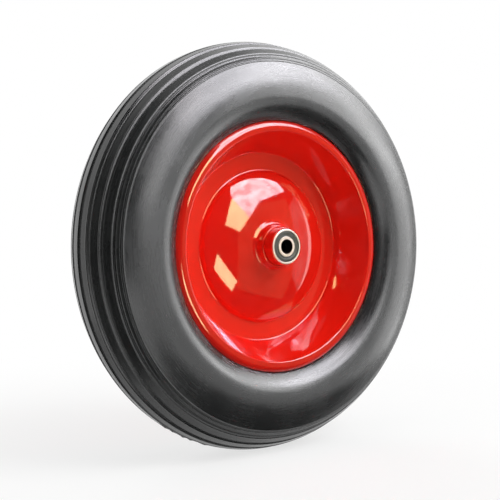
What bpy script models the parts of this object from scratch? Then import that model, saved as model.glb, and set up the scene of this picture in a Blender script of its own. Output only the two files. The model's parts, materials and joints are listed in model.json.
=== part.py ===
"""Puncture-proof wheel: a solid foam tyre with a ribbed tread on a rim of two pressed
steel halves, turning on two sealed ball bearings in a hub tube.

The origin is the wheel's centre and the axle lies along Y, with the face that is seen
first towards -Y. Turned pieces are drawn in (radius, height) and turned about their own
Z, then laid along the axle by two empties, one for each side of the wheel.
"""

import math

import bmesh
import bpy
from mathutils import Matrix, Vector

MM = 0.001

# Clearances
SEAT_GAP = 0.30 * MM  # between pieces that sit on each other
RACE_GAP = 0.30 * MM  # between a ball and its raceways, and between a ball and its cage

# Tyre
TYRE_RADIUS = 189.0 * MM
TYRE_WIDTH = 89.0 * MM
TYRE_WIDEST_RADIUS = 151.0 * MM
TREAD_SQUARENESS = 1.71  # exponent of the tread's curve, where 2 is an ellipse
GROOVE_SHARES = (0.124, 0.328, 0.580, 0.735)  # places, as shares of half the tyre's width
GROOVE_WIDTH = 1.8 * MM
GROOVE_DEPTH = 1.6 * MM
SHOULDER_INSET = 5.2 * MM  # from the tyre's side to the step where the tread begins
SHOULDER_STEP = 0.7 * MM
BEAD_DROP = 1.6 * MM  # from the flange's face down to where the sidewall meets the rim

# Rim half, a pressed sheet
SHEET = 1.5 * MM
FLANGE_RADIUS = 114.5 * MM
FLANGE_INSET = 9.7 * MM  # how far the flange's face lies within the tyre's side
FLANGE_LIP = 3.6 * MM  # how far the flange's edge turns back into the tyre
FLANGE_WIDTH = 9.5 * MM
WALL_RUN = 17.0 * MM  # how far the bowl's wall leans out on its way up to the flange
VALLEY_WIDTH = 17.0 * MM
DOME_HEIGHT = 18.6 * MM  # above the valley's face
DOME_SQUARENESS = 1.77  # exponent of the dome's curve, where 2 is an ellipse
DOME_FILLET = 2.5 * MM
WALL_FILLET = 5.0 * MM
LIP_FILLET = 3.0 * MM
COLLAR_HEIGHT = 26.5 * MM  # from the wheel's middle plane to the collar's end
COLLAR_FLARE = 1.5 * MM  # how much wider the collar is at its foot than at its end
COLLAR_FILLET = 3.0 * MM

# Hub tube
HUB_LENGTH = 75.0 * MM
HUB_RADIUS = 17.5 * MM
HUB_WALL = 2.9 * MM  # between the bearings, where the tube's bore is left narrow
HUB_EDGE = 0.4 * MM

# Ball bearing of the common 12 x 32 x 10 mm size
AXLE_RADIUS = 6.0 * MM
BEARING_RADIUS = 16.0 * MM
BEARING_WIDTH = 10.0 * MM
BEARING_EDGE = 0.5 * MM
BALL_RADIUS = 2.975 * MM
BALL_COUNT = 7
PITCH_RADIUS = 11.0 * MM
INNER_SHOULDER = 9.15 * MM  # radius of the inner ring beside its raceway
OUTER_SHOULDER = 12.9 * MM  # radius of the outer ring's bore beside its raceway
SEAL_SEAT = 14.8 * MM  # radius of the step in the outer ring that holds a seal
SEAL_THICKNESS = 0.9 * MM
SEAL_RECESS = 0.2 * MM  # how far a seal lies below the rings' faces
CAGE_THICKNESS = 2.0 * MM
CAGE_REACH = 1.7 * MM  # how far the cage's fingers reach past the balls' centres

# Places that follow from the sizes
HALF_WIDTH = TYRE_WIDTH / 2.0
FLANGE_HEIGHT = HALF_WIDTH - FLANGE_INSET  # from the wheel's middle plane
VALLEY_RADIUS = FLANGE_RADIUS - FLANGE_WIDTH - WALL_RUN  # where the bowl's wall rises
DOME_RADIUS = VALLEY_RADIUS - VALLEY_WIDTH

# Facets
WHEEL_STEPS = 36
HUB_STEPS = 18
SIDEWALL_STEPS = 3
CROWN_STEPS = 2
DOME_STEPS = 4
FILLET_STEPS = 2
RACE_STEPS = 4
BALL_SEGMENTS = 8
BALL_RINGS = 6
POCKET_SEGMENTS = 8
POCKET_RINGS = 6


def remove_all_objects():
    """Start from an empty scene."""
    for thing in list(bpy.data.objects):
        bpy.data.objects.remove(thing, do_unlink=True)


def new_collection(name):
    """Return a collection of this name, linked to the scene."""
    collection = bpy.data.collections.new(name)
    bpy.context.scene.collection.children.link(collection)
    return collection


def new_material(name, colour, roughness, metallic=0.0):
    """Return a Principled material with one colour."""
    material = bpy.data.materials.new(name)
    material.use_nodes = True
    shader = material.node_tree.nodes["Principled BSDF"]
    shader.inputs["Base Color"].default_value = (*colour, 1.0)
    shader.inputs["Roughness"].default_value = roughness
    shader.inputs["Metallic"].default_value = metallic
    return material


def new_empty(name, collection, parent=None, matrix=None):
    """Return an empty that carries pieces, placed under its parent by a matrix."""
    empty = bpy.data.objects.new(name, None)
    collection.objects.link(empty)
    empty.parent = parent
    empty.matrix_local = matrix or Matrix.Identity(4)
    return empty


def new_piece(name, mesh, material, collection, parent, place=(0.0, 0.0, 0.0)):
    """Put a mesh in the scene as a named piece under its parent."""
    piece = bpy.data.objects.new(name, mesh)
    piece.data.materials.append(material)
    collection.objects.link(piece)
    piece.parent = parent
    piece.location = place
    return piece


# Paths are lists of (radius, height). A turned piece's outer side runs downwards.


def arc(centre, radius, start, sweep, steps):
    """Points on an arc about a centre, with angles measured from the radius direction."""
    angles = [start + sweep * step / steps for step in range(steps + 1)]
    return [(centre[0] + radius * math.cos(a), centre[1] + radius * math.sin(a)) for a in angles]


def rounded(corners, steps):
    """Round a path's corners, each given as (radius, height, fillet radius)."""
    path = [corners[0][:2]]
    for before, here, after in zip(corners, corners[1:], corners[2:]):
        fillet = here[2]
        if fillet == 0.0:
            path.append(here[:2])
            continue
        corner = Vector(here[:2])
        way_in = (Vector(before[:2]) - corner).normalized()
        way_out = (Vector(after[:2]) - corner).normalized()
        half_angle = way_in.angle(way_out) / 2.0
        centre = corner + (way_in + way_out).normalized() * fillet / math.sin(half_angle)
        reach = fillet / math.tan(half_angle)
        first = corner + way_in * reach - centre
        last = corner + way_out * reach - centre
        path += arc(centre, fillet, math.atan2(first.y, first.x), last.angle_signed(first), steps)
    path.append(corners[-1][:2])
    return path


def shifted(path, distance):
    """Shift a path sideways, to the right of its own direction, with mitred corners."""
    result = []
    for place, here in enumerate(path):
        corner = Vector(here[:2])
        ahead = Vector(path[min(place + 1, len(path) - 1)][:2]) - corner
        behind = corner - Vector(path[max(place - 1, 0)][:2])
        sides = [Vector((way.y, -way.x)).normalized() for way in (behind, ahead) if way.length > 0.0]
        middle = (sides[0] + sides[-1]).normalized()
        point = corner + middle * distance / middle.dot(sides[0])
        result.append((point.x, point.y))
    return result


def mirrored(path):
    """Follow a path, then its mirror image below the middle plane."""
    below = [(radius, -height) for radius, height in reversed(path) if height > 0.0]
    return path + below


def turned(name, path, steps, closed, material, collection, parent, place=(0.0, 0.0, 0.0)):
    """Turn a path about Z into a piece. A closed path makes a solid, an open one a surface."""
    mesh = bpy.data.meshes.new(name)
    edges = [(here, here + 1) for here in range(len(path) - 1)]
    if closed:
        edges.append((len(path) - 1, 0))
    mesh.from_pydata([(radius, 0.0, height) for radius, height in path], edges, [])
    piece = new_piece(name, mesh, material, collection, parent, place)
    screw = piece.modifiers.new("turned", "SCREW")
    screw.axis = "Z"
    screw.angle = math.tau
    screw.steps = steps
    screw.render_steps = steps
    screw.use_merge_vertices = True
    screw.merge_threshold = 0.00001
    screw.use_smooth_shade = True
    return piece


def dome_face(radius):
    """Height of the dome above the valley's face, on a curve between an ellipse and a cone."""
    share = radius / DOME_RADIUS
    return DOME_HEIGHT * (1.0 - share**DOME_SQUARENESS) ** (1.0 / DOME_SQUARENESS)


def wall_corners():
    """Corners of the seen face from the valley up the bowl's wall and over the flange."""
    valley = SEAT_GAP / 2.0 + SHEET
    return [
        (VALLEY_RADIUS, valley, WALL_FILLET),
        (FLANGE_RADIUS - FLANGE_WIDTH, FLANGE_HEIGHT, LIP_FILLET),
        (FLANGE_RADIUS, FLANGE_HEIGHT, LIP_FILLET),
        (FLANGE_RADIUS, FLANGE_HEIGHT - FLANGE_LIP, 0.0),
    ]


def rim_face():
    """The rim half's seen face, from the collar's end over the dome out to the flange's edge."""
    valley = SEAT_GAP / 2.0 + SHEET
    collar_radius = HUB_RADIUS + SEAT_GAP + SHEET
    foot_radius = collar_radius + COLLAR_FLARE
    first = foot_radius + COLLAR_FILLET
    last = DOME_RADIUS - DOME_FILLET
    corners = [(collar_radius, COLLAR_HEIGHT, 0.0)]
    corners.append((foot_radius, valley + dome_face(first), COLLAR_FILLET / 2.0))
    for step in range(1, DOME_STEPS + 1):
        radius = first + (last - first) * math.sin(math.pi / 2.0 * step / DOME_STEPS)
        corners.append((radius, valley + dome_face(radius), 0.0))
    corners.append((DOME_RADIUS, valley, DOME_FILLET))
    return rounded(corners + wall_corners(), FILLET_STEPS)


def add_rim_half(name, material, collection, side):
    """A pressed rim half: the seen face, turned, with the sheet's thickness behind it."""
    piece = turned(name, rim_face(), WHEEL_STEPS, False, material, collection, side)
    sheet = piece.modifiers.new("sheet", "SOLIDIFY")
    sheet.thickness = SHEET
    sheet.offset = -1.0
    sheet.use_even_offset = True


def tread_radius(height):
    """Radius of the tread at a height above the middle plane."""
    share = height / HALF_WIDTH
    rise = (1.0 - share**TREAD_SQUARENESS) ** (1.0 / TREAD_SQUARENESS)
    return TYRE_WIDEST_RADIUS + (TYRE_RADIUS - TYRE_WIDEST_RADIUS) * rise


def sidewall_height(radius):
    """Height of the sidewall at a radius inside its widest, on an ellipse that meets the
    rim's edge a little below the flange's face."""
    bead_share = (FLANGE_HEIGHT - BEAD_DROP) / HALF_WIDTH
    bead_fall = TYRE_WIDEST_RADIUS - FLANGE_RADIUS - SEAT_GAP
    share = (TYRE_WIDEST_RADIUS - radius) / bead_fall
    return HALF_WIDTH * math.sqrt(1.0 - share**2 * (1.0 - bead_share**2))


def tyre_outside():
    """Upper half of the tyre's outside: from the rim's edge up the sidewall, over the step
    of the shoulder and across the ribs and grooves to the middle of the tread."""
    path = []
    first = FLANGE_RADIUS + SEAT_GAP
    for step in range(SIDEWALL_STEPS + 1):
        radius = first + (TYRE_WIDEST_RADIUS - first) * step / SIDEWALL_STEPS
        path.append((radius, sidewall_height(radius)))
    for step in range(1, CROWN_STEPS + 1):
        height = HALF_WIDTH - SHOULDER_INSET * (step / CROWN_STEPS) ** 2
        path.append((tread_radius(height), height))
    rib_edge = HALF_WIDTH - SHOULDER_INSET - SHOULDER_STEP
    path.append((tread_radius(rib_edge) + SHOULDER_STEP, rib_edge))
    for place in [HALF_WIDTH * share for share in reversed(GROOVE_SHARES)]:
        for height, depth in (
            (place + GROOVE_WIDTH / 2.0, 0.0),
            (place, GROOVE_DEPTH),
            (place - GROOVE_WIDTH / 2.0, 0.0),
        ):
            path.append((tread_radius(height) - depth, height))
    path.append((TYRE_RADIUS, 0.0))
    return path


def tyre_seat():
    """Upper half of the tyre's inside: the slot for the flange's edge, then a face that
    follows the back of the rim's wall down to the middle plane."""
    depth = SHEET + SEAT_GAP
    slot_bottom = FLANGE_HEIGHT - FLANGE_LIP - SEAT_GAP
    wall, flange_inner, flange_outer, _ = shifted(wall_corners(), depth)
    fillet = LIP_FILLET - depth
    corners = [
        (FLANGE_RADIUS + SEAT_GAP, slot_bottom, 0.0),
        (flange_outer[0], slot_bottom, 0.0),
        (*flange_outer, fillet),
        (*flange_inner, fillet),
        (*wall, 0.0),
    ]
    slope = (flange_inner[0] - wall[0]) / (flange_inner[1] - wall[1])
    valley = SEAT_GAP / 2.0
    corners[-1] = (wall[0] + slope * (valley - wall[1]), valley, 0.0)
    return rounded(corners, 1)


def add_tyre(material, collection, side):
    """The solid foam tyre."""
    seat = mirrored(tyre_seat())
    loop = mirrored(tyre_outside()) + seat[::-1]
    turned("tyre", loop, WHEEL_STEPS, True, material, collection, side)


def add_hub_tube(material, collection, side):
    """The hub tube, bored wider at each end for a bearing that sits flush in it."""
    end = HUB_LENGTH / 2.0
    seat = BEARING_RADIUS + SEAT_GAP
    shoulder = end - BEARING_WIDTH - SEAT_GAP
    outside = [(HUB_RADIUS - HUB_EDGE, end), (HUB_RADIUS, end - HUB_EDGE)]
    inside = [(seat, end), (seat, shoulder), (HUB_RADIUS - HUB_WALL, shoulder)]
    loop = mirrored(outside) + mirrored(inside)[::-1]
    turned("hub_tube", loop, HUB_STEPS, True, material, collection, side)


def race_arc(start, sweep):
    """A raceway's groove: an arc about the ball's centre, a gap wider than the ball."""
    return arc((PITCH_RADIUS, 0.0), BALL_RADIUS + RACE_GAP, start, sweep, RACE_STEPS)


def race_angle(shoulder):
    """Half the angle that a raceway's groove spans, up to its ring's shoulder."""
    return math.acos(abs(shoulder - PITCH_RADIUS) / (BALL_RADIUS + RACE_GAP))


def add_outer_ring(name, material, collection, bearing):
    """A bearing's outer ring, with its raceway and a stepped seat for each seal."""
    face = BEARING_WIDTH / 2.0
    step = face - SEAL_RECESS - SEAL_THICKNESS - SEAT_GAP
    half_angle = race_angle(OUTER_SHOULDER)
    outside = [(BEARING_RADIUS - BEARING_EDGE, face), (BEARING_RADIUS, face - BEARING_EDGE)]
    steps = [(SEAL_SEAT, face), (SEAL_SEAT, step), (OUTER_SHOULDER, step)]
    lower_steps = [(radius, -height) for radius, height in steps]
    loop = mirrored(outside) + lower_steps + race_arc(-half_angle, 2.0 * half_angle) + steps[::-1]
    turned(name, loop, HUB_STEPS, True, material, collection, bearing)


def add_inner_ring(name, material, collection, bearing):
    """A bearing's inner ring, with its raceway and the axle's bore."""
    face = BEARING_WIDTH / 2.0
    half_angle = race_angle(INNER_SHOULDER)
    bore = [(AXLE_RADIUS + BEARING_EDGE, face), (AXLE_RADIUS, face - BEARING_EDGE)]
    race = race_arc(math.pi - half_angle, 2.0 * half_angle)
    outside = [(INNER_SHOULDER, face), *race, (INNER_SHOULDER, -face)]
    loop = outside + mirrored(bore)[::-1]
    turned(name, loop, HUB_STEPS, True, material, collection, bearing)


def add_seal(name, material, collection, bearing, height):
    """A rubber seal: a flat washer between the rings, about a height on the bearing's axis."""
    half = SEAL_THICKNESS / 2.0
    inner = INNER_SHOULDER + RACE_GAP
    outer = SEAL_SEAT - SEAT_GAP
    loop = [(outer, height + half), (outer, height - half), (inner, height - half), (inner, height + half)]
    turned(name, loop, HUB_STEPS, True, material, collection, bearing)


def ball_centres():
    """Where a bearing's balls sit, evenly round the pitch circle."""
    angles = [math.tau * place / BALL_COUNT for place in range(BALL_COUNT)]
    return [Vector((PITCH_RADIUS * math.cos(a), PITCH_RADIUS * math.sin(a), 0.0)) for a in angles]


def add_balls(name, material, collection, bearing):
    """A bearing's balls, each on its own centre."""
    for number, centre in enumerate(ball_centres(), start=1):
        ball = bmesh.new()
        bmesh.ops.create_uvsphere(
            ball, u_segments=BALL_SEGMENTS, v_segments=BALL_RINGS, radius=BALL_RADIUS
        )
        mesh = bpy.data.meshes.new(f"{name}_{number}")
        ball.to_mesh(mesh)
        ball.free()
        mesh.shade_smooth()
        new_piece(f"{name}_{number}", mesh, material, collection, bearing, centre)


def add_pocket_cutter(name, collection, bearing):
    """The cutter of a cage's ball pockets: one ball for each pocket, a gap wider all round."""
    pockets = bmesh.new()
    for centre in ball_centres():
        turn = Matrix.Rotation(math.atan2(centre.y, centre.x), 4, "Z")
        bmesh.ops.create_uvsphere(
            pockets,
            u_segments=POCKET_SEGMENTS,
            v_segments=POCKET_RINGS,
            radius=BALL_RADIUS + RACE_GAP,
            matrix=Matrix.Translation(centre) @ turn,
        )
    mesh = bpy.data.meshes.new(name)
    pockets.to_mesh(mesh)
    pockets.free()
    cutter = bpy.data.objects.new(name, mesh)
    collection.objects.link(cutter)
    cutter.parent = bearing
    cutter.hide_render = True
    cutter.display_type = "WIRE"
    return cutter


def add_cage(name, material, collection, bearing, cutters):
    """A bearing's crown cage: a ring behind the balls, with fingers between them that
    close a little over each ball to hold it."""
    back = BEARING_WIDTH / 2.0 - SEAL_RECESS - SEAL_THICKNESS - SEAT_GAP
    inner = PITCH_RADIUS - CAGE_THICKNESS / 2.0
    outer = PITCH_RADIUS + CAGE_THICKNESS / 2.0
    loop = [(outer, CAGE_REACH), (outer, -back), (inner, -back), (inner, CAGE_REACH)]
    cage = turned(name, loop, HUB_STEPS, True, material, collection, bearing)
    pockets = cage.modifiers.new("pockets", "BOOLEAN")
    pockets.operation = "DIFFERENCE"
    pockets.object = add_pocket_cutter(f"{name}_pockets", cutters, bearing)


def add_bearing(end, side, pieces, cutters, steel, rubber, nylon):
    """A sealed ball bearing, flush in one end of the hub tube."""
    middle = HUB_LENGTH / 2.0 - BEARING_WIDTH / 2.0
    bearing = new_empty(f"{end}_bearing", pieces, side, Matrix.Translation((0.0, 0.0, middle)))
    add_outer_ring(f"{end}_outer_ring", steel, pieces, bearing)
    add_inner_ring(f"{end}_inner_ring", steel, pieces, bearing)
    add_balls(f"{end}_ball", steel, pieces, bearing)
    add_cage(f"{end}_cage", nylon, pieces, bearing, cutters)
    seal_place = (BEARING_WIDTH - SEAL_THICKNESS) / 2.0 - SEAL_RECESS
    add_seal(f"{end}_outside_seal", rubber, pieces, bearing, seal_place)
    add_seal(f"{end}_inside_seal", rubber, pieces, bearing, -seal_place)


def main():
    remove_all_objects()
    pieces = new_collection("puncture_proof_wheel")
    cutters = new_collection("cutters")
    foam = new_material("foam", (0.035, 0.037, 0.038), 0.6)
    paint = new_material("red_paint", (0.72, 0.012, 0.005), 0.15)
    steel = new_material("bearing_steel", (0.75, 0.74, 0.72), 0.2, 1.0)
    rubber = new_material("seal_rubber", (0.06, 0.065, 0.06), 0.5)
    nylon = new_material("cage_nylon", (0.55, 0.5, 0.38), 0.45)
    front = new_empty("front_side", pieces, None, Matrix.Rotation(math.pi / 2.0, 4, "X"))
    rear = new_empty("rear_side", pieces, None, Matrix.Rotation(-math.pi / 2.0, 4, "X"))
    add_tyre(foam, pieces, front)
    add_hub_tube(paint, pieces, front)
    for end, side in (("front", front), ("rear", rear)):
        add_rim_half(f"rim_half_{end}", paint, pieces, side)
        add_bearing(end, side, pieces, cutters, steel, rubber, nylon)


main()
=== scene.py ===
"""A puncture-proof wheel: a ribbed foam tyre on a red pressed-steel rim with two sealed
ball bearings, dressed over its CAD frame and set in a plain studio.

The wheel's centre is the origin, its axle lies along Y and the face that is seen first
looks towards -Y. Turned pieces are drawn as loops of (radius, depth), where depth is the
distance from the wheel's middle plane towards the side that the piece belongs to.
"""

import json
import math

import bpy
import numpy as np
from mathutils import Matrix, Vector

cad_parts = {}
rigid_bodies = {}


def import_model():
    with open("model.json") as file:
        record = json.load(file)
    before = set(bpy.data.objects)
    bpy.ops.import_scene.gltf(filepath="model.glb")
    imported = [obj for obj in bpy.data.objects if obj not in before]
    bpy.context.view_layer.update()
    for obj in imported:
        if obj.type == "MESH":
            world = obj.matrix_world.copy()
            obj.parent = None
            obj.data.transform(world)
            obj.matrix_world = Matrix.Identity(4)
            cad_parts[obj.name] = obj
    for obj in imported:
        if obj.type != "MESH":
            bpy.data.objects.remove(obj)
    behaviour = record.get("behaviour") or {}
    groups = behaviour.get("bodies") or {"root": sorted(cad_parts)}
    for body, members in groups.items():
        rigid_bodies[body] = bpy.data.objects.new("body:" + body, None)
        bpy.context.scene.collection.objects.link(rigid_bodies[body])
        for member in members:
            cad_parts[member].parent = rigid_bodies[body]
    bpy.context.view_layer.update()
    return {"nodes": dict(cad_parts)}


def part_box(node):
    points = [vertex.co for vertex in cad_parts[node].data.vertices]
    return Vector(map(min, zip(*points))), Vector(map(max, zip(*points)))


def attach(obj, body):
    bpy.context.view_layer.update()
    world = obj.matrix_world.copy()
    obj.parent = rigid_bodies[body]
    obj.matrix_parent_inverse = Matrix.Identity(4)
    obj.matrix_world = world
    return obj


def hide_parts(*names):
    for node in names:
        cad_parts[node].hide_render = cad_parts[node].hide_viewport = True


bl_info = {
    "name": "Puncture-proof wheel",
    "version": (1, 0, 0),
    "blender": (4, 5, 0),
    "location": "View3D > Sidebar > Wheel",
    "description": "Builds a foam-filled barrow wheel piece by piece, with its finishes and studio",
    "category": "Add Mesh",
}

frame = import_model()
TYRE_LOW, TYRE_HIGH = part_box("tyre")
HUB_LOW, HUB_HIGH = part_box("hub_tube")

MM = 0.001
GAP = 0.3 * MM  # between two pieces that touch
SPLIT = GAP / 2.0  # from the middle plane to each rim half
IMAGE_SIZE = 500  # pixels on each side of the photograph


# Colours


def linear(code):
    """Turns an sRGB hex code into linear red, green and blue."""
    values = [int(code[place : place + 2], 16) / 255.0 for place in (0, 2, 4)]
    return [v / 12.92 if v <= 0.04045 else ((v + 0.055) / 1.055) ** 2.4 for v in values]


# Sizes and colours that a user would change


def length(name, description, millimetres):
    """A length property with its default given in millimetres."""
    return bpy.props.FloatProperty(
        name=name, description=description, default=millimetres * MM, min=0.0, unit="LENGTH", precision=4
    )


def colour(name, description, code):
    """A colour property with its default given as an sRGB hex code."""
    return bpy.props.FloatVectorProperty(
        name=name, description=description, default=linear(code), min=0.0, max=1.0, subtype="COLOR"
    )


def number(name, description, default, low=0.0, high=100.0):
    """A plain number property."""
    return bpy.props.FloatProperty(name=name, description=description, default=default, min=low, max=high)


class TyreSizes(bpy.types.PropertyGroup):
    """Sizes and colour of the foam tyre."""

    radius: length("Radius", "Outer radius at the middle of the tread", TYRE_HIGH.x / MM)
    width: length("Width", "Width across the sidewalls", (TYRE_HIGH.y - TYRE_LOW.y) / MM)
    widest_radius: length("Widest radius", "Radius at which the tyre is widest", 136.0)
    tread_root: length("Tread root", "Radius from which the tread's curve rises", 151.0)
    squareness: number("Tread squareness", "Exponent of the tread's curve, 2 for an ellipse", 1.71)
    groove_width: length("Groove width", "Width of a tread groove at its mouth", 2.1)
    groove_lean: number(
        "Groove lean", "How much wider a groove's inner wall is than its outer one", 2.4, 1.0, 4.0
    )
    groove_depth: length("Groove depth", "Depth of a tread groove", 1.6)
    rib_flatness: number(
        "Rib flatness", "How flat the ribs are, from 0 for the curve to 1 for chords", 0.65, 0.0, 1.0
    )
    shoulder_inset: length("Shoulder inset", "From the tyre's side to the step where the tread begins", 5.2)
    shoulder_step: length("Shoulder step", "How far the tread stands above the sidewall", 0.7)
    bead_drop: length("Bead drop", "From the flange's face to where the sidewall meets the rim", 1.6)
    fin_height: length("Flash height", "Height of the torn flash on the tread's parting line", 0.9)
    skin: colour("Skin", "Colour of the moulded foam skin", "1d1e1e")


class RimSizes(bpy.types.PropertyGroup):
    """Sizes and colour of the two pressed rim halves."""

    sheet: length("Sheet", "Thickness of the pressed steel", 1.5)
    flange_radius: length("Flange radius", "Radius of the rim's outer edge", 114.5)
    flange_inset: length("Flange inset", "How far the flange's face lies within the tyre's side", 9.7)
    flange_lip: length("Flange lip", "How far the flange's edge turns back into the tyre", 3.6)
    flange_width: length("Flange width", "Width of the flange's face", 9.5)
    wall_run: length("Wall run", "How far the bowl's wall leans out on its way up", 17.0)
    wall_sag: length("Wall sag", "How far the bowl's wall bows out between foot and flange", 0.4)
    valley_width: length("Valley width", "Width of the valley between dome and wall", 17.0)
    dome_height: length("Dome height", "Height of the dome above the valley", 18.6)
    dome_squareness: number("Dome squareness", "Exponent of the dome's curve, 2 for an ellipse", 1.77)
    collar_height: length("Collar height", "From the wheel's middle plane to the collar's end", 26.5)
    collar_flare: length("Collar flare", "How much wider the collar is at its foot", 1.5)
    enamel: colour("Enamel", "Colour of the stoved enamel", "da1c10")


class HubSizes(bpy.types.PropertyGroup):
    """Sizes and colours of the hub tube and its bearings."""

    tube_length: length("Tube length", "Length of the hub tube", (HUB_HIGH.y - HUB_LOW.y) / MM)
    tube_radius: length("Tube radius", "Outer radius of the hub tube", HUB_HIGH.x / MM)
    tube_wall: length("Tube wall", "Thickness of the tube between the bearings", 2.9)
    bearing_radius: length("Bearing radius", "Outer radius of a bearing", 16.0)
    bearing_width: length("Bearing width", "Width of a bearing", 10.0)
    axle_radius: length("Axle radius", "Radius of the axle's bore", 6.0)
    ball_radius: length("Ball radius", "Radius of a bearing ball", 2.975)
    pitch_radius: length("Pitch radius", "Radius of the circle of ball centres", 11.0)
    inner_shoulder: length("Inner shoulder", "Outer radius of the inner ring's shoulder", 9.15)
    outer_shoulder: length("Outer shoulder", "Bore radius of the outer ring's shoulder", 12.9)
    seal_seat: length("Seal seat", "Radius of the step that holds a seal", 14.35)
    seal_thickness: length("Seal thickness", "Thickness of a seal", 0.9)
    seal_recess: length("Seal recess", "How far a seal lies below the rings' faces", 0.2)
    steel: colour("Bearing steel", "Colour of the ground bearing steel", "d8d2d2")
    rubber: colour("Seal rubber", "Colour of the nitrile seal", "262a27")
    nylon: colour("Cage nylon", "Colour of the nylon cage", "c9bfa4")


class StudioSettings(bpy.types.PropertyGroup):
    """Light and floor of the studio."""

    key_light: number("Key light", "Strength of the overhead soft light", 1.0)
    fill_light: number("Fill light", "Strength of the even light from all sides", 0.27)
    floor: colour("Floor", "Colour of the paper floor", "f4f4f3")


# Surfaces


def grid_mesh(name, points, rows_close, columns_close, material):
    """A mesh from a grid of points: a face joins each point to its next neighbours along both
    directions, and the grid's ends are joined where a direction closes."""
    rows, columns = points.shape[:2]
    row = np.arange(rows if rows_close else rows - 1)[:, None]
    column = np.arange(columns if columns_close else columns - 1)[None, :]
    next_row = (row + 1) % rows
    next_column = (column + 1) % columns
    corners = [
        row * columns + column,
        next_row * columns + column,
        next_row * columns + next_column,
        row * columns + next_column,
    ]
    faces = np.stack([corner.ravel() for corner in corners], axis=1)
    mesh = bpy.data.meshes.new(name)
    mesh.from_pydata(points.reshape(-1, 3), [], faces.tolist())
    mesh.materials.append(material)
    return mesh


def add_surface(name, points, material, body, nodes, rows_close=True):
    """Makes a mesh piece from a grid of points and lets it ride on its body, in the place of
    its CAD nodes."""
    mesh = grid_mesh(name, points, rows_close, True, material)
    mesh.shade_smooth()
    piece = bpy.data.objects.new(name, mesh)
    bpy.context.scene.collection.objects.link(piece)
    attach(piece, body)
    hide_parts(*nodes)
    return piece


def arc(centre, radius, start, sweep, steps):
    """Points on a circle's arc: centre plus radius times the cosine and sine of the angle."""
    angles = start + sweep * np.linspace(0.0, 1.0, steps + 1)
    return np.column_stack([centre[0] + radius * np.cos(angles), centre[1] + radius * np.sin(angles)])


def rounded(corners, steps):
    """Rounds a path's corners, each given as (radius, depth, fillet): the fillet is the arc
    that touches both straight runs."""
    parts = [np.array([corners[0][:2]])]
    for before, here, after in zip(corners, corners[1:], corners[2:]):
        fillet = here[2]
        if fillet == 0.0:
            parts.append(np.array([here[:2]]))
            continue
        corner = Vector(here[:2])
        way_in = (Vector(before[:2]) - corner).normalized()
        way_out = (Vector(after[:2]) - corner).normalized()
        half_angle = way_in.angle(way_out) / 2.0
        centre = corner + (way_in + way_out).normalized() * fillet / math.sin(half_angle)
        reach = fillet / math.tan(half_angle)
        first = corner + way_in * reach - centre
        last = corner + way_out * reach - centre
        start = math.atan2(first.y, first.x)
        parts.append(arc(centre, fillet, start, last.angle_signed(first), steps))
    parts.append(np.array([corners[-1][:2]]))
    return np.concatenate(parts)


def evenly(path, spacing):
    """Splits long runs of a path into equal parts no longer than the spacing."""
    runs = np.hypot(*np.diff(path, axis=0).T)
    parts = np.maximum(np.ceil(runs / spacing).astype(int), 1)
    starts = np.repeat(np.arange(len(runs)), parts)
    firsts = np.repeat(np.cumsum(parts) - parts, parts)
    shares = (np.arange(len(starts)) - firsts) / np.repeat(parts, parts)
    stations = np.append(starts + shares, len(path) - 1)
    places = np.arange(len(path))
    return np.column_stack([np.interp(stations, places, path[:, axis]) for axis in (0, 1)])


def offset(path, distance):
    """Moves a path sideways, to the right of its own direction, along its unit normals."""
    along = np.gradient(path, axis=0)
    along /= np.hypot(*along.T)[:, None]
    return path + distance * np.column_stack([along[:, 1], -along[:, 0]])


def turned(loop, steps, side):
    """Turns a closed loop of (radius, depth) about the axle: x and z are the radius times the
    angle's cosine and sine, and y is the depth towards the side. The loop is first made to run
    anticlockwise in (radius, y), so that the faces point outwards."""
    radius = loop[:, 0]
    y = loop[:, 1] * side
    area = np.sum(radius * np.roll(y, -1) - np.roll(radius, -1) * y)
    if area < 0.0:
        radius = radius[::-1]
        y = y[::-1]
    angles = np.linspace(0.0, math.tau, steps, endpoint=False)
    return np.stack(
        [
            radius[:, None] * np.cos(angles),
            np.repeat(y[:, None], steps, axis=1),
            radius[:, None] * np.sin(angles),
        ],
        axis=2,
    )


FRONT = -1.0
REAR = 1.0
SIDES = (("front", FRONT), ("rear", REAR))


# Materials


def plug(tree, node, inputs):
    """Fills a node's inputs with values, other nodes' sockets, or the first that a node has."""
    for name, value in inputs.items():
        if isinstance(value, bpy.types.Node):
            value = next(socket for socket in value.outputs if not socket.is_unavailable)
        if isinstance(value, bpy.types.NodeSocket):
            tree.links.new(value, node.inputs[name])
        else:
            node.inputs[name].default_value = value


def add_node(tree, kind, inputs=None, **settings):
    """Adds a shader node, sets its properties and plugs its inputs."""
    node = tree.nodes.new(f"ShaderNode{kind}")
    for name, value in settings.items():
        setattr(node, name, value)
    plug(tree, node, inputs or {})
    return node


def new_material(name, **values):
    """Returns a material, its node tree, its Principled shader with these socket values, and
    the socket that gives a point's place on the piece."""
    material = bpy.data.materials.new(name)
    material.use_nodes = True
    tree = material.node_tree
    shader = tree.nodes["Principled BSDF"]
    for socket, value in values.items():
        shader.inputs[socket.replace("_", " ")].default_value = value
    return material, tree, shader, add_node(tree, "TexCoord").outputs["Object"]


def cleared_tree(owner):
    """The emptied node tree of a material or a world."""
    owner.use_nodes = True
    owner.node_tree.nodes.clear()
    return owner.node_tree


def axle_distance(tree, place):
    """The node that gives a point's distance from the axle: the length of its x and z."""
    flat = add_node(tree, "VectorMath", {0: place, 1: (1.0, 0.0, 1.0)}, operation="MULTIPLY")
    return add_node(tree, "VectorMath", {0: flat}, operation="LENGTH")


def rgba(values):
    """A colour with full alpha."""
    return (*values, 1.0)


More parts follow.
